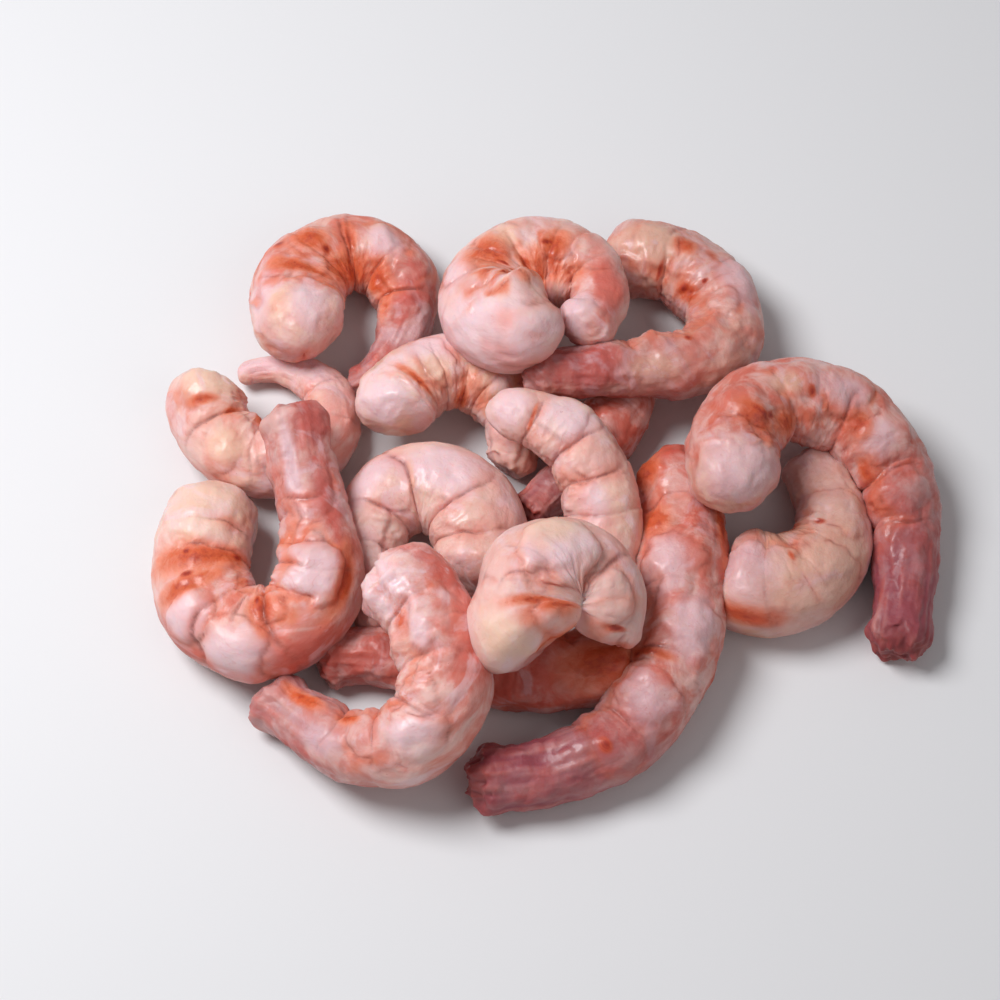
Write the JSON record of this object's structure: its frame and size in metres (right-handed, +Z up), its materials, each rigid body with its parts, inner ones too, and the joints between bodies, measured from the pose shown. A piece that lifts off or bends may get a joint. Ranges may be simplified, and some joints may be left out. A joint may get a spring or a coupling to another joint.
{
  "type": "heap of peeled shrimp",
  "caption": "Loose heap of peeled, cooked shrimp lying curled on and against each other, without heads, shells or tail fans, as a serving of seafood.",
  "frame": {"origin": "on the surface that the heap lies on, under the middle of the heap's outline", "axes": "+X to the right and +Y to the back as a person looks at the serving, +Z up"},
  "size_m": [0.1266, 0.1078, 0.0274],
  "materials": {
    "flesh_rosy": "moist, half glossy pink shrimp flesh with orange mottling along the belly creases",
    "flesh_pale": "moist, half glossy cream to pinkish white shrimp flesh with a few orange creases",
    "flesh_dusky": "moist, half glossy dusky red shrimp flesh with darker creases"
  },
  "bodies": {
    "root": {"shrimp_under_centre": "flesh_dusky", "shrimp_right_inner": "flesh_pale", "shrimp_front_under": "flesh_dusky", "shrimp_left_ring": "flesh_pale", "shrimp_back_left": "flesh_rosy", "shrimp_left_inner": "flesh_pale", "shrimp_middle": "flesh_pale", "shrimp_front_long": "flesh_rosy", "shrimp_back_right": "flesh_rosy", "shrimp_centre_back": "flesh_pale", "shrimp_front_left": "flesh_rosy", "shrimp_centre_top": "flesh_pale", "shrimp_left_hook": "flesh_rosy", "shrimp_back_centre": "flesh_rosy", "shrimp_right_arch": "flesh_rosy"}
  },
  "joints": []
}
